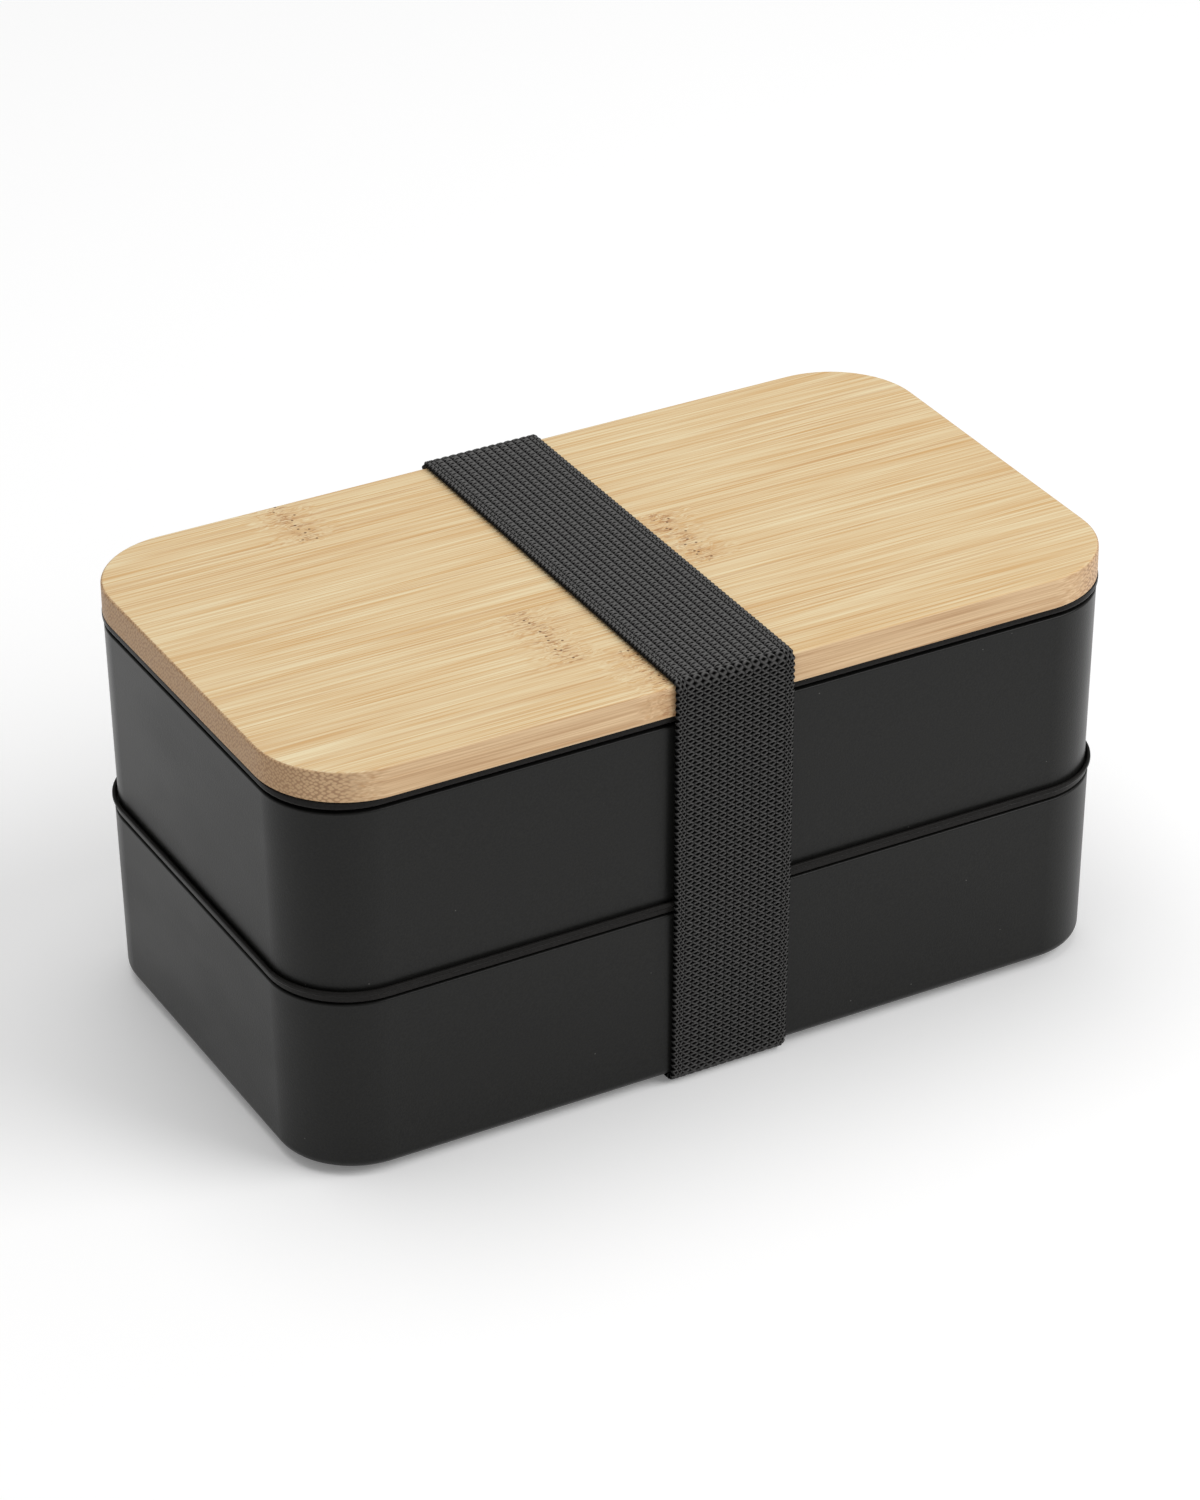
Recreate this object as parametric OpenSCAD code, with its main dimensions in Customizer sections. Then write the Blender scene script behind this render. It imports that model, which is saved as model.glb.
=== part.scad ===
// Two-tier bento lunch box: two nested black tubs, an inner lid that carries the
// cutlery, a bamboo-topped lid and an elastic band around the middle.
// Millimetres, +Z up, X along the length. The origin is the centre of the footprint,
// on the plane that the band's underside rests on.

/* [Bamboo lid] */
// Length of the bamboo board
lid_len = 185; // [170:1:200]
// Width of the bamboo board
lid_wid = 104.2; // [96:0.2:112]
// Corner radius of the bamboo board
lid_r = 19.2; // [15:0.2:24]
// Thickness of the bamboo board
bamboo_t = 6.6; // [5:0.1:9]
// Rounding of the board's upper and lower edges
bamboo_edge = 0.8; // [0.4:0.1:1.2]

/* [Tiers] */
// Height of the lower tub
lower_h = 38.7; // [34:0.1:50]
// Height of the upper tub, from its foot to its rim
upper_h = 41.2; // [36:0.1:52]
// How far a tub's rim stands inside the lid's edge at each end
tub_inset_x = 0.5; // [0.3:0.1:1]
// How far a tub's rim stands inside the lid's edge along each long side
tub_inset_y = 0.9; // [0.6:0.1:1.4]
// How much each tub narrows from rim to foot, on each side
draft = 0.7; // [0.2:0.1:1.2]
// Wall thickness of both tubs
wall = 1.8; // [1.4:0.1:2.2]
// Floor thickness of both tubs
floor_t = 1.8; // [1.4:0.1:2.4]
// Depth of the hollow under each tub's floor
foot_hollow = 0.8; // [0.4:0.1:1.2]
// Rounding between a tub's wall and its foot
foot_r = 2; // [1:0.1:2.4]

/* [Lids] */
// Height of the inner lid's rim that shows between the tubs
rim_h = 3; // [2.4:0.1:4]
// Thickness of the inner lid's ledge, which the upper tub stands on
ledge_t = 1.15; // [1:0.05:1.5]
// Depth of the cutlery tray below the ledge
tray_depth = 5.9; // [5.4:0.1:8]
// Height of the black frame that shows under the bamboo
frame_h = 2.45; // [2:0.05:3.5]
// Height of the lid frame's skirt, which reaches into the upper tub
skirt_h = 7.2; // [6:0.1:10]
// Wall thickness of both plugs
plug_t = 1.6; // [1.4:0.1:2]

/* [Inserts] */
// Place of the dividers along the box
divider_x = 34; // [10:1:40]
// Thickness of a divider
divider_t = 1.6; // [1.2:0.1:2.4]
// Length of the spoon, the fork and the knife
cutlery_len = 150; // [130:1:160]
// Thickness of the fork, of the knife and of the spoon's handle
cutlery_t = 2.2; // [1.8:0.1:3]

/* [Elastic band] */
// Width of the band
band_w = 25.5; // [20:0.5:40]
// Thickness of the band
band_t = 1.4; // [1:0.1:2]

/* [Hidden] */
$fn = 96;
wide_fn = 64;        // facets of a large circle in a hull
small_fn = 32;       // facets of a small circle in a hull
slice = 0.02;        // thickness of the layers that a hull joins
cut = 1;             // how far a cutting shape runs past a face

seat_gap = 0.05;     // play between two pieces that rest on each other
plug_gap = 0.4;      // play between a plug and the tub's wall
gasket_gap = 0.2;    // play between a gasket and the tub's wall
band_gap = 0.1;      // play between the band and the box
divider_gap = 1;     // room between a divider and the lid above it

corner_step = 2;     // how much tighter a tub's corners are than the board's
foot_ring = 6;       // width of the ring that a tub stands on
rim_out = 0.2;       // how far the inner lid's rim stands outside the tub's rim
lip_out = 0.5;       // how far the lip on that rim stands outside the tub's rim
lip_t = 0.75;        // thickness of the lip
lip_h = 0.9;         // height of the lip's outer bead
tray_floor = 1.4;    // thickness of the tray's floor and of the frame's top
frame_out = 0.3;     // how far the lid frame stands outside the tub's rim
boss_h = 1;          // height of the frame's raised centre, glued into the board
boss_inset = 9;      // how far the board's pocket for it stands inside the tub's rim
groove_h = 2;        // height of a gasket's groove
groove_d = 0.8;      // depth of a gasket's groove
groove_lift = 1;     // height of the inner lid's groove above its tray's floor
edge_bend = 0.8;     // bend of the band's inner face over the board's edges and the lip
foot_bend = 2;       // bend of the band's inner face under the lower tub

lid_x = lid_len / 2;
lid_y = lid_wid / 2;
tub_x = lid_x - tub_inset_x;
tub_y = lid_y - tub_inset_y;
tub_r = lid_r - corner_step;
plug_inset = wall + plug_gap;
base_z = band_t + band_gap;
lower_top = base_z + lower_h;
ledge_z = lower_top + seat_gap + ledge_t;
tray_z = ledge_z - tray_depth;
upper_z = ledge_z + seat_gap;
upper_top = upper_z + upper_h;
frame_z = upper_top + seat_gap;
skirt_z = frame_z - skirt_h;
bamboo_z = frame_z + frame_h + seat_gap;
bamboo_top = bamboo_z + bamboo_t;

// Rectangle with round corners, centred
module outline(half_x, half_y, r) {
    square([2 * (half_x - r), 2 * half_y], center = true);
    square([2 * half_x, 2 * (half_y - r)], center = true);
    for (sx = [-1, 1], sy = [-1, 1])
        translate([sx * (half_x - r), sy * (half_y - r)])
            circle(r);
}

// Upright block on the tub's outline, moved inwards by inset
module tub_block(inset, z, h) {
    translate([0, 0, z])
        linear_extrude(h)
            outline(tub_x - inset, tub_y - inset, tub_r - inset);
}

// Upright ring on the tub's outline between two insets
module tub_ring(inset_out, inset_in, z, h) {
    difference() {
        tub_block(inset_out, z, h);
        tub_block(inset_in, z - cut, h + 2 * cut);
    }
}

// Open tub with slightly sloping walls, a rounded foot and a hollow underside
module tub(z, h) {
    floor_top = z + foot_hollow + floor_t;
    foot_mid = foot_r * (1 - cos(45));    // inset and height of the rounding's middle
    difference() {
        hull() {
            tub_block(draft + foot_r, z, slice, $fn = wide_fn);
            tub_block(draft + foot_mid, z + foot_mid, slice, $fn = wide_fn);
            tub_block(draft, z + foot_r, slice, $fn = wide_fn);
            tub_block(0, z + h - slice, slice, $fn = wide_fn);
        }
        hull() {
            tub_block(draft + wall, floor_top, slice, $fn = wide_fn);
            tub_block(wall, z + h, slice, $fn = wide_fn);
        }
        tub_block(draft + foot_ring, z - cut, cut + foot_hollow);
    }
}

// Ring that fills a plug's groove, whose lower face is at z
module gasket(z) {
    tub_ring(wall + gasket_gap, plug_inset + groove_d - seat_gap,
             z + seat_gap, groove_h - 2 * seat_gap);
}

// Cross wall for a tub, with a foot along its lower edge
module divider(z, h) {
    foot_len = 10;
    foot_h = 1.2;
    side_gap = 0.5;
    follow = 0.7;        // share of the tub's draft that a divider widens by at its top
    low_y = tub_y - wall - draft - side_gap;
    high_y = low_y + draft * follow;
    translate([divider_x, 0, z]) {
        rotate([90, 0, 90])
            translate([0, 0, -divider_t / 2])
                linear_extrude(divider_t)
                    polygon([[-low_y, 0], [low_y, 0], [high_y, h], [-high_y, h]]);
        translate([-foot_len / 2, -low_y, 0])
            cube([foot_len, 2 * low_y, foot_h]);
    }
}

// Handle that widens towards its free end, from x = 0 to x = len
module handle(len, neck_w, end_w) {
    linear_extrude(cutlery_t)
        hull() {
            circle(neck_w / 2, $fn = small_fn);
            translate([len - end_w / 2, 0])
                circle(end_w / 2, $fn = small_fn);
        }
}

module bamboo_lid() {
    color("burlywood")
        difference() {
            // three stacked plates step round the upper and lower edges
            for (turn = [0, 45, 90]) {
                inset = bamboo_edge * (1 - cos(turn));
                drop = bamboo_edge * (1 - sin(turn));
                translate([0, 0, bamboo_z + drop])
                    linear_extrude(bamboo_t - 2 * drop)
                        outline(lid_x - inset, lid_y - inset, lid_r - inset);
            }
            tub_block(boss_inset, bamboo_z - cut, cut + boss_h + seat_gap);
        }
}

module lid_frame() {
    color("#2c2c2c")
        difference() {
            union() {
                tub_block(-frame_out, frame_z, frame_h);
                tub_block(boss_inset + seat_gap, frame_z + frame_h - cut, cut + boss_h);
                tub_block(plug_inset, skirt_z, skirt_h + cut);
            }
            tub_block(plug_inset + plug_t, skirt_z - cut, cut + skirt_h + frame_h - tray_floor);
            tub_ring(plug_inset - cut, plug_inset + groove_d, skirt_z + groove_h, groove_h);
        }
}

module lid_gasket() {
    color("#3a3a3a")
        gasket(skirt_z + groove_h);
}

module upper_tier() {
    color("#2e2e2e")
        tub(upper_z, upper_h);
}

module upper_divider() {
    z = upper_z + foot_hollow + floor_t + seat_gap;
    color("#3c3c3c")
        divider(z, skirt_z - z - divider_gap);
}

module inner_lid() {
    lid_low = lower_top + seat_gap;
    color("#2a2a2a")
        difference() {
            union() {
                tub_block(-rim_out, lid_low, rim_h - seat_gap - lip_h);
                tub_block(-lip_out, lower_top + rim_h - lip_h, lip_h);
                tub_block(plug_inset, tray_z - tray_floor, tray_floor + tray_depth);
            }
            tub_block(lip_t - lip_out, ledge_z, rim_h);
            tub_block(plug_inset + plug_t, tray_z, tray_depth + cut);
            tub_ring(plug_inset - cut, plug_inset + groove_d, tray_z + groove_lift, groove_h);
        }
}

module inner_lid_gasket() {
    color("#3a3a3a")
        gasket(tray_z + groove_lift);
}

module lower_tier() {
    color("#2e2e2e")
        tub(base_z, lower_h);
}

module lower_divider() {
    z = base_z + foot_hollow + floor_t + seat_gap;
    color("#3c3c3c")
        divider(z, tray_z - tray_floor - z - divider_gap);
}

// The cutlery lies side by side on the tray, heads towards -X
module fork() {
    place_y = 28;
    head_len = 44;
    head_w = 24;
    neck_r = 3.5;
    end_w = 15;
    shoulder_x = -20;
    shoulder_r = 5;
    tip_r = 1.5;
    tip_inset = 2.4;
    tine_len = 26;
    tine_gap = 2.6;
    tine_pitch = 6;
    color("#3c3c3c")
        translate([-cutlery_len / 2 + head_len, place_y, tray_z + seat_gap]) {
            handle(cutlery_len - head_len, 2 * neck_r, end_w);
            linear_extrude(cutlery_t)
                difference() {
                    hull() {
                        circle(neck_r, $fn = small_fn);
                        for (sy = [-1, 1])
                            translate([shoulder_x, sy * (head_w / 2 - shoulder_r)])
                                circle(shoulder_r, $fn = small_fn);
                        for (sy = [-1, 1])
                            translate([-head_len + tip_r, sy * (head_w / 2 - tip_inset)])
                                circle(tip_r, $fn = small_fn);
                    }
                    for (i = [-1, 0, 1])
                        translate([-head_len - cut, i * tine_pitch - tine_gap / 2])
                            square([tine_len + cut, tine_gap]);
                }
        }
}

module spoon() {
    place_y = -3;
    bowl_len = 46;
    bowl_w = 32;
    bowl_h = 4.4;
    bowl_r = 76;         // radius of the ball whose shell the bowl is cut from
    bowl_shift = 5;      // how far the bowl's lowest point lies from its middle, towards its tip
    shell_t = 1.4;
    neck_r = 4;
    neck_x = 2;          // centre of the handle's round start
    neck_z = 2.2;        // height of the handle's underside
    end_w = 15;
    color("#3c3c3c")
        translate([-cutlery_len / 2 + bowl_len - neck_r, place_y, tray_z + seat_gap]) {
            translate([neck_x, 0, neck_z])
                handle(cutlery_len - bowl_len + neck_r - neck_x, 2 * neck_r, end_w);
            intersection() {
                linear_extrude(bowl_h)
                    hull() {
                        circle(neck_r, $fn = small_fn);
                        translate([-bowl_len + bowl_w / 2 + neck_r, 0])
                            circle(bowl_w / 2, $fn = wide_fn);
                    }
                translate([neck_r - bowl_len / 2 - bowl_shift, 0, bowl_r])
                    difference() {
                        sphere(bowl_r);
                        sphere(bowl_r - shell_t);
                    }
            }
        }
}

module knife() {
    place_y = -32;
    blade_len = 66;
    neck_r = 6;
    end_w = 16;
    belly_r = 8;
    belly_x = 10;        // how far the blade's widest place lies behind its end
    tip_r = 2;
    color("#3c3c3c")
        translate([-cutlery_len / 2 + blade_len, place_y, tray_z + seat_gap]) {
            handle(cutlery_len - blade_len, 2 * neck_r, end_w);
            linear_extrude(cutlery_t)
                hull() {
                    circle(neck_r, $fn = small_fn);
                    translate([-blade_len + belly_x, 0])
                        circle(belly_r, $fn = small_fn);
                    translate([-blade_len + tip_r, tip_r - belly_r])
                        circle(tip_r, $fn = small_fn);
                }
        }
}

// Outline of the band's path around the box, in Y and Z, grown by grow: it bends over
// the board's edges, the inner lid's lip and the lower tub's foot
module band_path(grow) {
    top_r = edge_bend + grow;
    low_r = foot_bend + grow;
    lip_y = tub_y + lip_out + band_gap + grow;
    hull()
        for (side = [-1, 1]) {
            translate([side * (lid_y + band_gap + grow - top_r), bamboo_top + band_gap + grow - top_r])
                circle(top_r, $fn = small_fn);
            translate([side * (lip_y - top_r), lower_top + rim_h])
                circle(top_r, $fn = small_fn);
            translate([side * (tub_y - draft + band_gap + grow - low_r), band_t - grow + low_r])
                circle(low_r, $fn = small_fn);
        }
}

module elastic_band() {
    color("#3b3d3f")
        rotate([90, 0, 90])
            translate([0, 0, -band_w / 2])
                linear_extrude(band_w)
                    difference() {
                        band_path(band_t);
                        band_path(0);
                    }
}

// Zigzag thread that joins the band's two ends on the back of the box
module band_stitching() {
    stitches = 10;
    thread_w = 0.6;
    thread_t = 0.5;
    stitch_h = 5;
    lean = 24;           // degrees that each stitch leans, one way and then the other
    margin = 2;          // plain band beside the outer stitches
    sink = 0.1;          // how far the thread's middle lies below the band's surface
    pitch = (band_w - 2 * margin) / stitches;
    seam_z = base_z + lower_h / 2;
    climb = (seam_z - base_z) / (lower_top + rim_h - base_z);
    wall_y = tub_y - draft + (draft + lip_out) * climb + band_gap + band_t;
    color("#2a2a2a")
        for (i = [0:stitches - 1])
            translate([(i - (stitches - 1) / 2) * pitch, wall_y - sink, seam_z])
                rotate([0, (i % 2 == 0 ? 1 : -1) * lean, 0])
                    cube([thread_w, thread_t, stitch_h], center = true);
}

bamboo_lid();
lid_frame();
lid_gasket();
upper_tier();
upper_divider();
fork();
spoon();
knife();
inner_lid();
inner_lid_gasket();
lower_tier();
lower_divider();
elastic_band();
band_stitching();
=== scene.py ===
import math

import bpy
import numpy as np
from mathutils import Matrix, Vector


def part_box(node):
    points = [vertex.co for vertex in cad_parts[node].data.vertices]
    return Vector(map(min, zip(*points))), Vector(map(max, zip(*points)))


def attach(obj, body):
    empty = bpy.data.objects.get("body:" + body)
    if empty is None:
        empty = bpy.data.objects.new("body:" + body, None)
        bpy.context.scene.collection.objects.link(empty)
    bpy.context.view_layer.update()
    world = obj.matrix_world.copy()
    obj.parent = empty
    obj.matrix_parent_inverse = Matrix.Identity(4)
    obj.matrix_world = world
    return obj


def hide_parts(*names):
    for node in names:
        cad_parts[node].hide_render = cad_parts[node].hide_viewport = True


MM = 0.001

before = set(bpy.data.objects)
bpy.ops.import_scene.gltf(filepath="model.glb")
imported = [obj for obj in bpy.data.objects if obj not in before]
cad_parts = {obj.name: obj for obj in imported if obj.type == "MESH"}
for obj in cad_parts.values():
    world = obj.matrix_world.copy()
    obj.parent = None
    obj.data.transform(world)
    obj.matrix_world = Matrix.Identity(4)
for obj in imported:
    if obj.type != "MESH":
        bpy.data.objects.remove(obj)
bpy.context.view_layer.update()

# ---------------------------------------------------------------- sizes, in millimetres
LID_R = 19.2            # corner radius of the bamboo board
TUB_R = 17.2            # corner radius of the tubs' rims
DRAFT = 0.7             # how much a tub narrows from rim to foot, on each side
WALL = 1.8              # wall and floor thickness of the tubs
FOOT_HOLLOW = 0.8       # depth of the hollow under each tub
FOOT_RING = 6.0         # width of the ring a tub stands on
TUB_INSIDE_R = 0.6      # rounding inside a tub, between its wall and its floor
UPPER_FOOT_R = 1.3      # rounding of the upper tub's foot, which sits behind the inner lid's lip
LOWER_FOOT_R = 2.2      # rounding of the lower tub's foot
BOARD_TOP_R = 0.6       # rounding of the bamboo board's upper edge
BOARD_LOW_R = 0.3       # rounding of its lower edge
POCKET_INSET = 9.0      # how far the pocket under the board stands inside the tub's rim
POCKET_H = 1.05         # depth of that pocket
BOSS_INSET = 9.8        # how far the frame's boss, which sits in the pocket, stands inside the rim
BOSS_H = 1.0            # height of the boss
FRAME_T = 1.4           # thickness of the frame's plate
FRAME_STEP_H = 0.65     # height of the step under the frame's outer edge
FRAME_STEP_INSET = 1.4  # how far that step stands inside the tub's rim
RIM_STEP_H = 0.4        # height of the step under the inner lid's rim
RIM_STEP_INSET = 1.1    # how far that step stands inside the tub's rim
FLARE_LOW = 1.7         # height over the rim's underside where it starts to flare out into the lip
FLARE_HIGH = 2.15       # height where the flare ends
LIP_T = 0.75            # thickness of the lip
LEDGE_T = 1.15          # thickness of the inner lid's ledge, which the upper tub stands on
TRAY_T = 1.4            # thickness of the cutlery tray's floor
SEAT_GAP = 0.05         # play between two pieces that lie on each other
FLAT_RUN = 4.0          # how far a profile runs on past a corner before a flat face closes it
PLUG_INSET = 2.2        # how far a lid's plug stands inside the tub's rim
PLUG_T = 1.6            # wall thickness of a plug
GROOVE_H = 2.0          # height of the groove that holds a gasket
GROOVE_D = 0.8          # depth of that groove
RIB_GAP = 0.2           # play between a gasket's ribs and the tub's wall
RIB_H = 0.42            # how far the ribs stand out of the gasket
BAND_T = 1.4            # thickness of the elastic band
BAND_GAP = 0.1          # play between the band and the box
BAND_TURN_R = 0.8       # radius of the band's inner face over the board's edge and over the lip
BAND_LOW_R = 2.0        # radius of its inner face under the lower tub's foot
THREAD_R = 0.26         # radius of the sewing thread
THREAD_OUT = 0.02       # how far the middle of the thread stands out of the band's face
THREAD_TURNS = 21       # points where the zigzag thread turns, its two ends included
INSERT_EDGE = 0.3       # softening of the edges of the dividers and the cutlery
WALE = 1.79             # width of one lengthwise column of the knit
COURSE = 0.72           # height of one row of the knit
SELVEDGE = 1.8          # width of the strip of finer columns along each edge of the band
SWING = 0.21            # how far a row of the knit swings, in rows
BEND_SWING = 0.02       # how much further it swings where the band turns a corner
SKEW = -0.045           # how far the holes between the rows are slanted, in rows
VALLEY_D = 0.22         # depth of the valley between two rows
HOLE_D = 0.30           # how much deeper it gets where the rows part
COLUMN_D = 0.18         # depth of the groove between two columns
COLUMN_TOP_D = 0.22     # how much deeper it is on top of the lid
EDGE_D = 0.45           # how far the knit lies back at the band's edges
SCALLOP = 0.36          # how far the loops along the edges stand out
SIDE_OUT = 0.16         # how far the band's sides bulge past them
BEND_FLAT = 0.35        # share of the valleys' depth that is lost where the band turns a corner
ROW_JITTER = 0.02       # how uneven the rows are, in rows
DEPTH_JITTER = 0.012    # how uneven the knit's depth is
SEAM_GAP = 0.05         # gap between the band's two ends
STRIP_W = 22.9          # width of one bamboo strip in the glued board
NODE_AT = (-14.0, -25.0, 18.0, 3.0, -47.5)  # where each strip has its growth node, front to back
NODE_CORE = 1.9         # half the length of a growth node's dashed core
NODE_FAN = 9.5          # how far its fanned fibres reach from its middle
BUNDLE = 1.10           # bundles of fibre in each unit of the slanted lattice that end grain forms


def low(node):
    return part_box(node)[0] / MM


def high(node):
    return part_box(node)[1] / MM


LID_X, LID_Y, LID_TOP = high("bamboo_lid")
LID_LOW = low("bamboo_lid").z
TUB_X, TUB_Y, UPPER_TOP = high("upper_tier")
UPPER_LOW = low("upper_tier").z
LOWER_TOP = high("lower_tier").z
LOWER_LOW = low("lower_tier").z
LIP_TOP = high("inner_lid").z
LIP_OUT = high("inner_lid").x - TUB_X
TRAY_LOW = low("inner_lid").z
SKIRT_LOW = low("lid_frame").z
FRAME_OUT = high("lid_frame").x - TUB_X
BAND_HALF = high("elastic_band").x
SEAM_LOW = low("band_stitching")
SEAM_HIGH = high("band_stitching")


# ---------------------------------------------------------------- mesh helpers
def rounded_rectangle(half_x, half_y, radius, steps=18):
    """Points of a rectangle with round corners, anticlockwise seen from above."""
    points = []
    for quarter, (sx, sy) in enumerate(((1, 1), (-1, 1), (-1, -1), (1, -1))):
        for step in range(steps + 1):
            angle = math.radians(90 * (quarter + step / steps))
            points.append((sx * (half_x - radius) + radius * math.cos(angle),
                           sy * (half_y - radius) + radius * math.sin(angle)))
    return points


def fillet(corners, steps=5, closed=False):
    """Rounds a line of (inset, z, radius) corners and returns its (inset, z) points."""
    points = []
    count = len(corners)
    for i, (x, z, radius) in enumerate(corners):
        corner = Vector((x, z))
        if radius == 0 or (not closed and i in (0, count - 1)):
            points.append((x, z))
            continue
        before = Vector(corners[i - 1][:2]) - corner
        after = Vector(corners[(i + 1) % count][:2]) - corner
        half = before.angle(after) / 2
        cut = min(radius / math.tan(half), 0.49 * before.length, 0.49 * after.length)
        radius = cut * math.tan(half)
        middle = (before.normalized() + after.normalized()).normalized()
        centre = corner + middle * radius / math.sin(half)
        start = corner + before.normalized() * cut - centre
        end = corner + after.normalized() * cut - centre
        first = math.atan2(start.y, start.x)
        sweep = (math.atan2(end.y, end.x) - first + math.pi) % (2 * math.pi) - math.pi
        for step in range(steps + 1):
            angle = first + sweep * step / steps
            points.append((centre.x + radius * math.cos(angle),
                           centre.y + radius * math.sin(angle)))
    return points


def add_mesh(name, points_mm, faces):
    mesh = bpy.data.meshes.new(name)
    mesh.from_pydata([tuple(p) for p in np.asarray(points_mm, float) * MM], [], faces)
    mesh.polygons.foreach_set("use_smooth", [True] * len(mesh.polygons))
    mesh.update()
    piece = bpy.data.objects.new(name, mesh)
    bpy.context.scene.collection.objects.link(piece)
    return piece


def join_corners(piece):
    """Corners that faces hold separately at one place become one, so that no edge is open."""
    modifier = piece.modifiers.new("join_corners", "WELD")
    modifier.merge_threshold = 0.001 * MM
    return piece


def even_shading(piece):
    """Large flat faces keep their own shading next to small roundings."""
    modifier = piece.modifiers.new("even_shading", "WEIGHTED_NORMAL")
    modifier.mode = "FACE_AREA"
    modifier.keep_sharp = True
    return piece


def tube_faces(rings, around, closed=False):
    """Faces of a tube of rings, which have around points each. An open tube has two end faces."""
    faces = []
    for i in range(rings if closed else rings - 1):
        here, there = i * around, (i + 1) % rings * around
        for j in range(around):
            right = (j + 1) % around
            faces.append((here + j, here + right, there + right, there + j))
    if not closed:
        faces.append(tuple(reversed(range(around))))
        faces.append(tuple(range((rings - 1) * around, rings * around)))
    return faces


def loft(name, profile, half_x=TUB_X, half_y=TUB_Y, radius=TUB_R, closed=False):
    """A solid whose wall follows profile, a line of (inset, z), round a rounded rectangle.
    An open profile starts at the underside's middle and ends at the upper side's."""
    points = []
    for inset, z in profile:
        ring = rounded_rectangle(half_x - inset, half_y - inset, max(radius - inset, 0.6))
        points += [(x, y, z) for x, y in ring]
    return even_shading(add_mesh(name, points, tube_faces(len(profile), len(ring), closed)))


# ---------------------------------------------------------------- material helpers
class Shader:
    """Builds one node material. Sockets go in and out of its methods."""

    def __init__(self, name):
        self.material = bpy.data.materials.new(name)
        self.material.use_nodes = True
        self.tree = self.material.node_tree
        self.surface = self.tree.nodes["Principled BSDF"]
        coordinates = self.tree.nodes.new("ShaderNodeTexCoord")
        self.place = self.scaled(coordinates.outputs["Object"], (1 / MM,) * 3)
        self.normal = coordinates.outputs["Normal"]

    def put(self, socket, value):
        if isinstance(value, bpy.types.NodeSocket):
            self.tree.links.new(value, socket)
        else:
            socket.default_value = value

    def add(self, kind, inputs=(), **settings):
        node = self.tree.nodes.new(kind)
        for key, value in settings.items():
            setattr(node, key, value)
        for key, value in dict(inputs).items():
            self.put(node.inputs[key], value)
        return node

    def set(self, **values):
        for key, value in values.items():
            self.put(self.surface.inputs[key.replace("_", " ")], value)

    def scaled(self, vector, scale, shift=(0, 0, 0)):
        node = self.add("ShaderNodeMapping", {"Vector": vector, "Scale": scale, "Location": shift})
        return node.outputs["Vector"]

    def math(self, operation, a, b=0.0, clamp=False):
        node = self.add("ShaderNodeMath", operation=operation, use_clamp=clamp)
        self.put(node.inputs[0], a)
        self.put(node.inputs[1], b)
        return node.outputs[0]

    def plus(self, a, b):
        return self.math("ADD", a, b)

    def minus(self, a, b):
        return self.math("SUBTRACT", a, b)

    def times(self, a, b):
        return self.math("MULTIPLY", a, b)

    def size(self, a):
        return self.math("ABSOLUTE", a)

    def axis(self, vector, name):
        return self.add("ShaderNodeSeparateXYZ", {"Vector": vector}).outputs[name]

    def attribute(self, name):
        return self.add("ShaderNodeAttribute", attribute_name=name).outputs["Fac"]

    def noise(self, vector, scale=1.0, detail=2.0, rough=0.5):
        node = self.add("ShaderNodeTexNoise", {"Vector": vector, "Scale": scale,
                                               "Detail": detail, "Roughness": rough})
        return node.outputs["Fac"]

    def cells(self, vector, scale=1.0, dimensions="3D", disorder=1.0):
        node = self.add("ShaderNodeTexVoronoi", voronoi_dimensions=dimensions)
        self.put(node.inputs["Vector"], vector)
        self.put(node.inputs["Scale"], scale)
        self.put(node.inputs["Randomness"], disorder)
        return node.outputs["Distance"]

    def step(self, value, start, end, low_out=0.0, high_out=1.0):
        node = self.add("ShaderNodeMapRange", {"Value": value, "From Min": start, "From Max": end,
                                               "To Min": low_out, "To Max": high_out},
                        interpolation_type="SMOOTHSTEP")
        return node.outputs["Result"]

    def mix(self, share, a, b):
        node = self.add("ShaderNodeMix", data_type="RGBA")
        self.put(node.inputs["Factor"], share)
        for key, value in (("A", a), ("B", b)):
            socket = [s for s in node.inputs if s.name == key and s.type == "RGBA"][0]
            self.put(socket, value if isinstance(value, bpy.types.NodeSocket) else (*value, 1.0))
        return [s for s in node.outputs if s.type == "RGBA"][0]

    def bump(self, height, depth_mm, strength):
        node = self.add("ShaderNodeBump", {"Height": height, "Distance": depth_mm * MM,
                                           "Strength": strength})
        return node.outputs["Normal"]


def srgb(red, green, blue):
    """Linear colour of an sRGB colour given from 0 to 255."""
    return tuple((c / 255 / 12.92) if c <= 10 else ((c / 255 + 0.055) / 1.055) ** 2.4
                 for c in (red, green, blue))


# ---------------------------------------------------------------- materials
def bamboo_grain(s, along):
    """Long fibres of four widths, from broad bands down to hair lines."""
    grain = None
    for x_scale, y_scale, weight in ((0.010, 0.09, 0.26), (0.018, 0.50, 0.30),
                                     (0.026, 1.35, 0.62), (0.034, 3.20, 1.25)):
        layer = s.noise(s.scaled(along, (x_scale, y_scale, y_scale)), detail=1.5)
        layer = s.times(s.minus(layer, 0.5), weight)
        grain = layer if grain is None else s.plus(grain, layer)
    return grain


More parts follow.
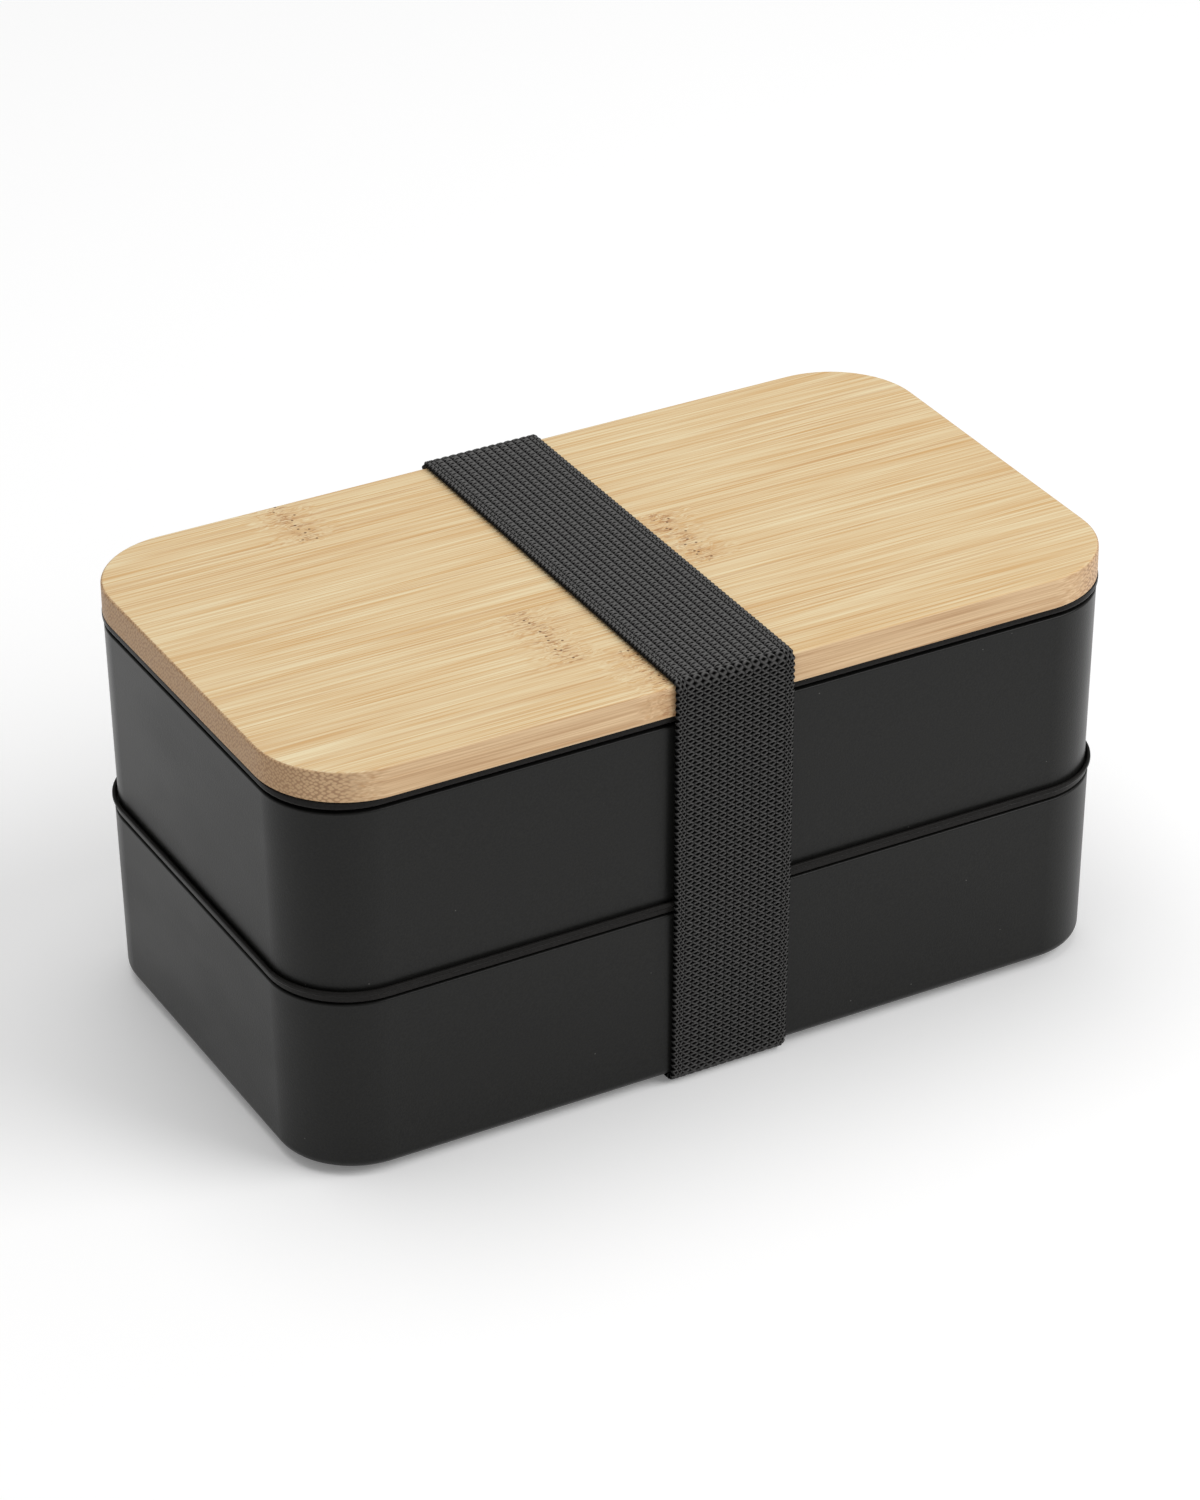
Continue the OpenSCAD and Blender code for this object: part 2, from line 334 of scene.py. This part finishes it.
def bamboo_nodes(s, strip):
    """Masks of the growth nodes: the whole patch, its dashed core, the fans of fibre on both
    sides of it and the column of pores."""
    x = s.axis(s.place, "X")
    ragged = s.noise(s.scaled(s.place, (0.05, 0.9, 0.9)), detail=3.0, rough=0.65)
    shift = s.times(s.minus(ragged, 0.5), 9.0)
    masks = [None] * 4
    for index, centre in enumerate(NODE_AT):
        own_strip = index - len(NODE_AT) // 2
        same = s.add("ShaderNodeMath", {0: strip, 1: float(own_strip), 2: 0.1},
                     operation="COMPARE").outputs[0]
        away = s.size(s.minus(s.plus(x, shift), centre))
        parts = (s.step(away, NODE_FAN, NODE_CORE),
                 s.step(away, NODE_CORE + 1.3, NODE_CORE - 1.2),
                 s.step(s.plus(away, s.step(away, NODE_CORE, 0.0, 0.0, 4.0)), NODE_FAN, NODE_CORE),
                 s.step(s.size(s.minus(x, centre + 0.6)), 2.4, 1.4))
        for i, part in enumerate(parts):
            part = s.times(same, part)
            masks[i] = part if masks[i] is None else s.plus(masks[i], part)
    return masks


def bamboo_marks(s, masks, side, colour):
    """Colours the growth nodes. Returns the colour, and the masks of the dashes and pores."""
    patch, core, fan, column = masks
    dashes = s.noise(s.scaled(s.place, (0.50, 2.4, 2.4)), detail=2.0, rough=0.6)
    dash = s.times(core, s.step(dashes, 0.53, 0.61))
    fleck = s.times(patch, s.step(dashes, 0.52, 0.64))
    rays = s.noise(s.scaled(s.place, (0.10, 2.4, 2.4), (7, 5, 1)), detail=2.0)
    ray = s.times(fan, s.step(rays, 0.50, 0.66))
    pores = s.cells(s.scaled(s.place, (0.34, 0.38, 0.38), (3, 1, 2)), dimensions="2D")
    pore = s.times(s.times(column, s.minus(1.0, side)), s.step(pores, 0.12, 0.07))
    colour = s.mix(s.times(patch, 0.08), colour, srgb(216, 174, 126))
    colour = s.mix(s.times(ray, 0.42), colour, srgb(196, 148, 98))
    colour = s.mix(s.times(fleck, 0.14), colour, srgb(188, 138, 92))
    colour = s.mix(s.times(dash, 0.70), colour, srgb(172, 120, 76))
    colour = s.mix(s.times(pore, 0.85), colour, srgb(108, 72, 44))
    return colour, dash, pore


def bamboo_end_grain(s):
    """Pale bundles of fibre, like scales, in a browner ground, painted darker where the end is cut
    square across: painted shade. Returns their mask and the colour."""
    width, height = s.axis(s.place, "Y"), s.axis(s.place, "Z")
    lattice = s.add("ShaderNodeCombineXYZ",
                    {"X": s.plus(width, height), "Y": s.minus(width, height)})
    bundles = s.cells(lattice.outputs[0], BUNDLE, "2D", disorder=0.6)
    scales = s.step(bundles, 0.56, 0.28)
    streaks = s.noise(s.scaled(s.place, (0.02, 0.12, 0.7)))
    ground = s.mix(streaks, srgb(166, 128, 94), srgb(182, 145, 109))
    colour = s.mix(scales, ground, srgb(212, 177, 136))
    # painted shade: end faces cut square across are painted darker
    square_cut_shade = s.step(s.size(s.axis(s.normal, "X")), 0.65, 0.98, 0.0, 0.42)
    return scales, s.mix(square_cut_shade, colour, srgb(154, 116, 76))


def bamboo_material():
    """Glued strips of bamboo, each with its own grain and one growth node."""
    s = Shader("bamboo")
    strip = s.math("FLOOR", s.plus(s.math("DIVIDE", s.axis(s.place, "Y"), STRIP_W), 0.5))
    masks = bamboo_nodes(s, strip)
    patch = masks[0]

    bend = s.minus(s.noise(s.scaled(s.place, (0.22, 0.30, 0.30)), detail=1.0), 0.5)
    bend = s.times(s.times(bend, patch), 4.0)
    shift = s.add("ShaderNodeCombineXYZ", {"X": s.times(strip, 331.0), "Y": bend, "Z": bend})
    along = s.add("ShaderNodeVectorMath", {0: s.place, 1: shift.outputs[0]},
                  operation="ADD").outputs[0]
    grain = bamboo_grain(s, along)
    tone = s.math("ADD", s.times(grain, 1.55), 0.5, clamp=True)

    # the board's sides are cut through the strips; they are painted darker than its face, which is
    # painted shade, and a little browner
    side = s.step(s.size(s.axis(s.normal, "Z")), 0.85, 0.45)
    face_colour = s.mix(tone, srgb(215, 173, 117), srgb(240, 223, 183))
    shaded_side_colour = s.mix(tone, srgb(195, 156, 115), srgb(232, 201, 159))
    colour = s.mix(side, face_colour, shaded_side_colour)
    veins = s.noise(s.scaled(along, (0.012, 1.90, 1.90), (40, 9, 3)), detail=2.0)
    colour = s.mix(s.step(veins, 0.60, 0.67, 0.0, 0.45), colour, srgb(200, 152, 102))

    colour, dash, pore = bamboo_marks(s, masks, side, colour)

    end = s.step(s.size(s.axis(s.normal, "X")), 0.20, 0.55)
    scales, end_colour = bamboo_end_grain(s)
    colour = s.mix(end, colour, end_colour)

    relief = s.minus(grain, s.times(pore, 0.8))
    relief = s.minus(relief, s.times(dash, 0.35))
    relief = s.plus(relief, s.times(s.times(end, scales), 0.3))
    s.set(Base_Color=colour, Roughness=s.step(grain, -0.3, 0.3, 0.54, 0.44),
          Specular_IOR_Level=0.3, Normal=s.bump(relief, 0.10, 0.5))
    return s.material


def plastic_material(name, colour, roughness, specular, texture_mm, depth_mm):
    """Moulded black plastic: a fine even texture, faint flow marks and rare dust."""
    s = Shader(name)
    skin = s.noise(s.place, 1 / texture_mm, detail=2.0, rough=0.6)
    flow = s.noise(s.scaled(s.place, (0.02, 0.02, 0.05)), detail=3.0)
    scuff = s.noise(s.scaled(s.place, (0.9, 0.9, 0.12)), detail=4.0, rough=0.7)
    dust = s.step(s.cells(s.place, 0.16), 0.028, 0.016)
    base = s.mix(flow, tuple(c * 0.88 for c in colour), tuple(c * 1.14 for c in colour))
    base = s.mix(s.step(skin, 0.3, 0.7, 0.0, 0.45), base, tuple(c * 1.8 for c in colour))
    base = s.mix(s.times(dust, 0.25), base, srgb(150, 148, 144))
    rough = s.plus(s.step(flow, 0.35, 0.65, roughness - 0.03, roughness + 0.03),
                   s.times(s.step(scuff, 0.62, 0.8), 0.05))
    s.set(Base_Color=base, Roughness=rough, Specular_IOR_Level=specular,
          Normal=s.bump(skin, depth_mm, 0.8))
    return s.material


def silicone_material():
    s = Shader("seal_silicone")
    bloom = s.noise(s.place, 0.4, detail=3.0)
    base = s.mix(bloom, srgb(52, 52, 52), srgb(66, 66, 65))
    s.set(Base_Color=base, Roughness=s.step(bloom, 0.3, 0.7, 0.55, 0.68),
          Normal=s.bump(s.noise(s.place, 4.0), 0.01, 0.5))
    return s.material


def elastic_material():
    """Matt yarn. Its colour holds painted shade and light: nearly black in the gaps between the
    rows, darker towards them, in the grooves between the columns and where the band turns a
    corner, and lighter where it lies on top of the lid. The rows swing to and fro exactly as the
    mesh's do:
    even rows one way and odd rows the other, so that they part into staggered holes."""
    s = Shader("band_elastic")
    wale, bend, top = s.attribute("wale"), s.attribute("bend"), s.attribute("top")
    skew = s.times(s.math("SINE", s.times(wale, 4 * math.pi)), SKEW)
    course = s.minus(s.attribute("course"), skew)
    swing = s.plus(s.times(bend, BEND_SWING), SWING)
    wave = s.times(s.math("COSINE", s.times(wale, 2 * math.pi)), swing)
    to_even = s.math("PINGPONG", s.minus(course, wave), 1.0)
    to_odd = s.math("PINGPONG", s.plus(s.plus(course, 1.0), wave), 1.0)
    away = s.math("MINIMUM", to_even, to_odd)
    yarn = s.step(away, s.plus(s.times(bend, 0.14), 0.44), 0.12)
    # painted shade in the grooves between the columns, darker on top of the lid
    groove = s.step(s.math("PINGPONG", wale, 0.5), 0.0, s.plus(s.times(top, 0.13), 0.14),
                    s.minus(0.30, s.times(top, 0.28)), 1.0)
    # painted shade where the band turns a corner: the yarn is darker there
    opened = s.minus(1.0, s.times(bend, 0.20))
    filament = s.noise(s.scaled(s.place, (9.0, 4.0, 4.0)), detail=3.0, rough=0.65)
    # painted shade: the yarn darkens from the middle of each row to nearly black in the gaps
    # between the rows
    tone = s.times(s.times(yarn, groove), s.step(filament, 0.25, 0.75, 0.60, 1.15))
    # painted light: the yarn is painted lighter where the band lies on top of the lid
    top_lit_yarn_colour = s.mix(top, srgb(88, 87, 86), srgb(108, 107, 106))
    base = s.mix(s.times(tone, opened), srgb(3, 3, 3), top_lit_yarn_colour)
    s.set(Base_Color=base, Roughness=0.78, Specular_IOR_Level=s.step(yarn, 0.0, 1.0, 0.02, 0.25),
          Sheen_Weight=s.times(yarn, 0.03), Sheen_Roughness=0.5,
          Normal=s.bump(s.plus(s.times(filament, 0.3), yarn), 0.14, 0.8))
    return s.material


def thread_material():
    """Polyester sewing thread: fine twisted strands."""
    s = Shader("band_thread")
    strands = s.noise(s.scaled(s.place, (7.0, 3.0, 5.0)), detail=3.0, rough=0.6)
    base = s.mix(strands, srgb(12, 12, 13), srgb(74, 75, 77))
    s.set(Base_Color=base, Roughness=0.62, Sheen_Weight=0.1, Normal=s.bump(strands, 0.06, 0.8))
    return s.material


BAMBOO = bamboo_material()
TUB_PLASTIC = plastic_material("black_plastic", srgb(26, 26, 25), 0.33, 0.18, 0.42, 0.038)
FRAME_PLASTIC = plastic_material("frame_plastic", srgb(31, 30, 29), 0.30, 0.05, 0.5, 0.006)
INSERT_PLASTIC = plastic_material("insert_plastic", srgb(58, 58, 57), 0.42, 0.4, 0.5, 0.008)
CUTLERY_PLASTIC = plastic_material("cutlery_plastic", srgb(50, 50, 51), 0.34, 0.4, 0.6, 0.005)
SILICONE = silicone_material()
ELASTIC = elastic_material()
THREAD = thread_material()


def finish_piece(piece, body, slot, material, *nodes):
    piece.data.materials.clear()
    piece.data.materials.append(material)
    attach(piece, body)
    if nodes:
        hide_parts(*nodes)
    return piece


# ---------------------------------------------------------------- lid
def bamboo_board():
    pocket = LID_X - TUB_X + POCKET_INSET
    seat = LID_LOW + POCKET_H
    profile = fillet([(pocket + FLAT_RUN, seat, 0), (pocket, seat, 0.1), (pocket, LID_LOW, 0.2),
                      (0, LID_LOW, BOARD_LOW_R), (0, LID_TOP, BOARD_TOP_R),
                      (FLAT_RUN, LID_TOP, 0)])
    return loft("bamboo_board", profile, LID_X, LID_Y, LID_R)


def lid_frame():
    top = LID_LOW - SEAT_GAP
    under = UPPER_TOP + SEAT_GAP
    plate = top - FRAME_T
    groove = SKIRT_LOW + GROOVE_H
    inner = PLUG_INSET + PLUG_T
    profile = fillet([(inner + FLAT_RUN, plate, 0), (inner, plate, 0.8), (inner, SKIRT_LOW, 0.3),
                      (PLUG_INSET, SKIRT_LOW, 0.7), (PLUG_INSET, groove, 0.15),
                      (PLUG_INSET + GROOVE_D, groove, 0.1),
                      (PLUG_INSET + GROOVE_D, groove + GROOVE_H, 0.1),
                      (PLUG_INSET, groove + GROOVE_H, 0.15), (PLUG_INSET, under, 0.2),
                      (FRAME_STEP_INSET, under, 0.1),
                      (FRAME_STEP_INSET, under + FRAME_STEP_H, 0.1),
                      (-FRAME_OUT, under + FRAME_STEP_H, 0.9), (-FRAME_OUT, top, 0.3),
                      (BOSS_INSET, top, 0.1), (BOSS_INSET, top + BOSS_H, 0.2),
                      (BOSS_INSET + FLAT_RUN, top + BOSS_H, 0)])
    return loft("lid_frame_moulding", profile)


def gasket(name, z):
    """Flat ring with two soft ribs, which stop just short of the tub's wall."""
    back = PLUG_INSET + GROOVE_D - SEAT_GAP
    rib = WALL + RIB_GAP
    body = rib + RIB_H
    top = z + GROOVE_H - 2 * SEAT_GAP
    middle = z + GROOVE_H / 2 - SEAT_GAP
    profile = [(back, z, 0.1), (rib, z + 0.1, 0.12), (rib, z + 0.55, 0.12), (body, middle, 0.25),
               (rib, top - 0.55, 0.12), (rib, top - 0.1, 0.12), (back, top, 0.1)]
    return loft(name, fillet(profile, 3, closed=True), closed=True)


finish_piece(bamboo_board(), "lid", "bamboo", BAMBOO, "bamboo_lid")
finish_piece(lid_frame(), "lid", "frame_plastic", FRAME_PLASTIC, "lid_frame")
finish_piece(gasket("lid_seal", low("lid_gasket").z), "lid", "seal_silicone", SILICONE,
             "lid_gasket")


# ---------------------------------------------------------------- tubs and inner lid
def tub(name, z, top, foot_r):
    floor = z + FOOT_HOLLOW + WALL
    profile = fillet([(DRAFT + FOOT_RING + FLAT_RUN, z + FOOT_HOLLOW, 0),
                      (DRAFT + FOOT_RING, z + FOOT_HOLLOW, 0.3), (DRAFT + FOOT_RING, z, 0.3),
                      (DRAFT, z, foot_r), (0, top, 0.4), (WALL, top, 0.5),
                      (WALL + DRAFT, floor, TUB_INSIDE_R), (WALL + DRAFT + FLAT_RUN, floor, 0)],
                     steps=7)
    return loft(name, profile)


def inner_lid():
    low_z = LOWER_TOP + SEAT_GAP
    ledge = low_z + LEDGE_T
    tray = TRAY_LOW + TRAY_T
    groove = low("inner_lid_gasket").z - SEAT_GAP
    inner = PLUG_INSET + PLUG_T
    lip_in = LIP_T - LIP_OUT
    step = low_z + RIM_STEP_H
    profile = fillet([(PLUG_INSET + FLAT_RUN, TRAY_LOW, 0), (PLUG_INSET, TRAY_LOW, 0.8),
                      (PLUG_INSET, groove, 0.15), (PLUG_INSET + GROOVE_D, groove, 0.1),
                      (PLUG_INSET + GROOVE_D, groove + GROOVE_H, 0.1),
                      (PLUG_INSET, groove + GROOVE_H, 0.15), (PLUG_INSET, low_z, 0.2),
                      (RIM_STEP_INSET, low_z, 0.1), (RIM_STEP_INSET, step, 0.1),
                      (0.1, step, 0.4), (-0.15, low_z + FLARE_LOW, 0.5),
                      (-LIP_OUT, low_z + FLARE_HIGH, 0.35), (-LIP_OUT, LIP_TOP, 0.38),
                      (lip_in, LIP_TOP, 0.36), (lip_in + 0.15, ledge, 0.2),
                      (inner, ledge, 0.35), (inner, tray, 0.8), (inner + FLAT_RUN, tray, 0)])
    return loft("inner_lid_moulding", profile)


finish_piece(tub("upper_tub", UPPER_LOW, UPPER_TOP, UPPER_FOOT_R), "upper_tier", "black_plastic",
             TUB_PLASTIC, "upper_tier")
finish_piece(tub("lower_tub", LOWER_LOW, LOWER_TOP, LOWER_FOOT_R), "lower_tier", "black_plastic",
             TUB_PLASTIC, "lower_tier")
finish_piece(inner_lid(), "inner_lid", "frame_plastic", FRAME_PLASTIC, "inner_lid")
finish_piece(gasket("inner_lid_seal", low("inner_lid_gasket").z), "inner_lid", "seal_silicone",
             SILICONE, "inner_lid_gasket")


# ---------------------------------------------------------------- elastic band
class BandPath:
    """The band's closed path round the box in Y and Z, which lies grow outside the band's inner
    face. Distances along it count from the seam, on the back."""

    def __init__(self, grow, steps=2880):
        turn_r, low_r = BAND_TURN_R + grow, BAND_LOW_R + grow
        reach = BAND_GAP + grow
        circles = []
        for side in (1, -1):
            circles += [(side * (LID_Y + reach - turn_r), LID_TOP + reach - turn_r, turn_r),
                        (side * (TUB_Y + LIP_OUT + reach - turn_r), LIP_TOP, turn_r),
                        (side * (TUB_Y - DRAFT + reach - low_r), BAND_T - grow + low_r, low_r)]
        circles = np.array(circles)
        self.angle = np.linspace(-math.pi / 2, 1.5 * math.pi, steps + 1)
        self.out = np.stack([np.cos(self.angle), np.sin(self.angle)], 1)
        outermost = np.argmax(self.out @ circles[:, :2].T + circles[:, 2], 1)
        self.points = circles[outermost, :2] + circles[outermost, 2:] * self.out
        steps_along = np.linalg.norm(np.diff(self.points, axis=0), axis=1)
        self.along = np.r_[0, np.cumsum(steps_along)]
        self.length = self.along[-1]
        back = (self.points[:, 0] > 0) & (self.angle < math.pi / 4)
        seam_z = (SEAM_LOW.z + SEAM_HIGH.z) / 2
        self.seam = np.interp(seam_z, self.points[back, 1], self.along[back])

    def read(self, values, distance):
        """One of the path's values, at a distance from the seam."""
        return np.interp(np.mod(distance + self.seam, self.length), self.along, values)

    def place(self, across, distance, height):
        """Points at a position across the band, a distance along it and a height over its path."""
        y = self.read(self.points[:, 0], distance) + self.read(self.out[:, 0], distance) * height
        z = self.read(self.points[:, 1], distance) + self.read(self.out[:, 1], distance) * height
        return np.stack([across, y, z], -1)

    def bend(self, distance, window=0.7):
        """How sharply the band turns, from 0 on a straight run to 1 over the board's edge."""
        turn = self.read(self.angle, distance + window) - self.read(self.angle, distance - window)
        return np.clip(np.mod(turn, 2 * math.pi), 0, 1)

    def top(self, distance):
        """1 where the band lies flat on the lid, and 0 down the sides and underneath."""
        return np.clip((self.read(self.out[:, 1], distance) - 0.8) * 8, 0, 1)


def knit_columns():
    """Positions across the band and, for each, how many columns lie between it and one edge."""
    edge = BAND_HALF - SELVEDGE
    columns = round(2 * edge / WALE)
    across = np.r_[np.linspace(-BAND_HALF, -edge, 9)[:-1],
                   np.linspace(-edge, edge, 5 * columns + 1),
                   np.linspace(edge, BAND_HALF, 9)[1:]]
    wale = np.interp(across, [-BAND_HALF, -edge, edge, BAND_HALF],
                     [0, 2, columns + 2, columns + 4])
    return across, wale


def knit_relief(lines, wale, bend, top):
    """Each vertex's place along the band, in rows, and its depth under the band's face."""
    rng = np.random.default_rng(7)
    is_crest = lines % 2 == 0
    sign = np.where(lines // 2 % 2 == 0, 1.0, -1.0)
    ends = (lines == 0) | (lines == lines[-1])
    wave = np.cos(2 * math.pi * wale)
    swing = np.where(is_crest & ~ends, sign * (SWING + BEND_SWING * bend), 0.0)
    course = lines / 2 + swing * wave
    skew = SKEW * np.sin(4 * math.pi * wale) + rng.normal(0, ROW_JITTER, course.shape)
    course = course + skew * ~ends

    opened = 0.5 - 0.5 * sign * wave
    valley = (VALLEY_D + HOLE_D * opened) * (1 - BEND_FLAT * bend)
    groove = 1 - np.abs(np.sin(math.pi * wale)) ** 0.6
    depth = np.where(is_crest, 0.0, valley) + (COLUMN_D + COLUMN_TOP_D * top) * groove
    depth = depth + rng.normal(0, DEPTH_JITTER, depth.shape)
    depth = np.maximum(depth, 0.01)
    depth[:, 0] = depth[:, -1] = EDGE_D
    return course, depth


def woven_band():
    """Knitted elastic, with relief to match the rows and columns in its material. It is open at
    the seam, where its two ends meet."""
    path = BandPath(BAND_T / 2)
    rows = 2 * round(path.length / COURSE / 2)
    pitch = path.length / rows
    lines = np.arange(2 * rows + 1)[:, None]    # a crest line and a valley line for each row
    bend = path.bend(lines * pitch / 2)
    top = path.top(lines * pitch / 2)
    across, wale = knit_columns()
    course, depth = knit_relief(lines, wale, bend, top)

    outer = across + np.zeros(course.shape)
    scallop = SCALLOP * (0.5 + 0.5 * np.cos(math.pi * lines / 2))
    outer[:, :1] -= scallop
    outer[:, -1:] += scallop
    distance = np.clip(course * pitch, 0, path.length - SEAM_GAP)
    straight = distance.mean(1, keepdims=True)

    def strip(positions, height):
        """Vertices on the band's edges and inner face, one for each position across it."""
        positions, along = np.broadcast_arrays(positions, straight)
        return path.place(positions, along, height)

    lining = np.linspace(BAND_HALF - 0.1, -BAND_HALF + 0.1, 4)
    grid = np.concatenate([path.place(outer, distance, BAND_T / 2 - depth),
                           strip(outer[:, -1:] + SIDE_OUT, -0.05), strip(lining, -BAND_T / 2),
                           strip(outer[:, :1] - SIDE_OUT, -0.05)], 1)
    n_lines, around = grid.shape[:2]
    piece = add_mesh("woven_band", grid.reshape(-1, 3), tube_faces(n_lines, around))

    # the material reads these, so that its rows and columns fall on the mesh's
    every = np.zeros((n_lines, around))
    all_courses = np.concatenate([course, every[:, len(across):] + lines / 2], 1)
    for name, values in (("wale", np.interp(grid[..., 0], across, wale)),
                         ("course", all_courses), ("bend", every + bend), ("top", every + top)):
        attribute = piece.data.attributes.new(name, "FLOAT", "POINT")
        attribute.data.foreach_set("value", values.astype(np.float32).ravel())
    return piece


def zigzag_thread():
    """The thread that joins the band's two ends: it runs up and down across the seam."""
    path = BandPath(BAND_T)
    half_h = (SEAM_HIGH.z - SEAM_LOW.z) / 2
    curve = bpy.data.curves.new("zigzag_thread", "CURVE")
    curve.dimensions = "3D"
    curve.bevel_depth = THREAD_R * MM
    curve.bevel_resolution = 3
    curve.use_fill_caps = True
    spline = curve.splines.new("POLY")
    spline.points.add(THREAD_TURNS - 1)
    for i in range(THREAD_TURNS):
        across = SEAM_LOW.x + (SEAM_HIGH.x - SEAM_LOW.x) * i / (THREAD_TURNS - 1)
        distance = half_h if i % 2 else -half_h
        point = path.place(across, distance, THREAD_OUT)
        spline.points[i].co = (*(point * MM), 1.0)
    piece = bpy.data.objects.new("zigzag_thread", curve)
    bpy.context.scene.collection.objects.link(piece)
    return join_corners(piece)


finish_piece(woven_band(), "band", "band_elastic", ELASTIC, "elastic_band")
finish_piece(zigzag_thread(), "band", "band_thread", THREAD, "band_stitching")


# ---------------------------------------------------------------- pieces that keep their CAD shape
for node_name, material in (("upper_divider", INSERT_PLASTIC), ("lower_divider", INSERT_PLASTIC),
                            ("fork", CUTLERY_PLASTIC), ("spoon", CUTLERY_PLASTIC),
                            ("knife", CUTLERY_PLASTIC)):
    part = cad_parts[node_name]
    part.data.materials.clear()
    part.data.materials.append(material)
    join_corners(part)
    soft_edge = part.modifiers.new("soft_edge", "BEVEL")
    soft_edge.width = INSERT_EDGE * MM
    soft_edge.segments = 2
    soft_edge.limit_method = "ANGLE"
    soft_edge.angle_limit = math.radians(40)
    even_shading(part)


# ---------------------------------------------------------------- stage, light and camera
FLOOR_SIZE = 60.0
bpy.ops.mesh.primitive_plane_add(size=FLOOR_SIZE, location=(0, 0, 0))
floor = bpy.context.object
floor.name = "floor"
floor_shader = Shader("floor")
floor_shader.set(Base_Color=(0.95, 0.95, 0.95, 1.0), Roughness=0.9, Specular_IOR_Level=0.1,
                 Emission_Color=(1.0, 1.0, 1.0, 1.0), Emission_Strength=0.14)
floor.data.materials.append(floor_shader.material)

# seen from below, the floor is clear, so that the box's underside shows
below = floor_shader.add("ShaderNodeNewGeometry").outputs["Backfacing"]
clear = floor_shader.add("ShaderNodeBsdfTransparent").outputs["BSDF"]
one_sided = floor_shader.add("ShaderNodeMixShader",
                             {0: below, 1: floor_shader.surface.outputs["BSDF"], 2: clear})
output = floor_shader.tree.nodes["Material Output"]
floor_shader.put(output.inputs["Surface"], one_sided.outputs["Shader"])


def soft_light(name, place, size, power):
    lamp = bpy.data.lights.new(name, "AREA")
    lamp.shape = "DISK"
    lamp.size = size
    lamp.energy = power
    holder = bpy.data.objects.new(name, lamp)
    holder.location = place
    holder.rotation_euler = (-Vector(place)).to_track_quat("-Z", "Y").to_euler()
    bpy.context.scene.collection.objects.link(holder)


soft_light("key_light", (1.1, -1.0, 1.3), 1.4, 19.0)
soft_light("top_light", (-0.1, 0.3, 1.8), 1.4, 12.5)

world = bpy.data.worlds.new("studio")
world.use_nodes = True
world.node_tree.nodes["Background"].inputs["Color"].default_value = (1.0, 1.0, 1.0, 1.0)
world.node_tree.nodes["Background"].inputs["Strength"].default_value = 0.34
bpy.context.scene.world = world
bpy.context.scene.view_settings.view_transform = "Standard"

VIEW_AZIMUTH = -28.62   # degrees, 0 looks along +Y
VIEW_ELEVATION = 30.43
VIEW_ROLL = -0.415
VIEW_DISTANCE = 1.0684  # metres from the middle of the lower tub's foot, along the line of sight
VIEW_RIGHT = -0.0010    # how far the camera stands right of that line, and above it
VIEW_UP = 0.0396
LENS = 123.4
azimuth, elevation, roll = (math.radians(a) for a in (VIEW_AZIMUTH, VIEW_ELEVATION, VIEW_ROLL))
back = Vector((math.sin(azimuth) * math.cos(elevation), -math.cos(azimuth) * math.cos(elevation),
               math.sin(elevation)))
level = Vector((math.cos(azimuth), math.sin(azimuth), 0))
upright = back.cross(level)
right = level * math.cos(roll) + upright * math.sin(roll)
up = upright * math.cos(roll) - level * math.sin(roll)
camera_data = bpy.data.cameras.new("camera")
camera_data.lens = LENS
camera_data.sensor_width = 36.0
camera = bpy.data.objects.new("camera", camera_data)
camera.rotation_euler = Matrix((right, up, back)).transposed().to_euler()
foot_height = Vector((0, 0, LOWER_LOW * MM))
camera.location = back * VIEW_DISTANCE + right * VIEW_RIGHT + up * VIEW_UP + foot_height
bpy.context.scene.collection.objects.link(camera)
bpy.context.scene.camera = camera
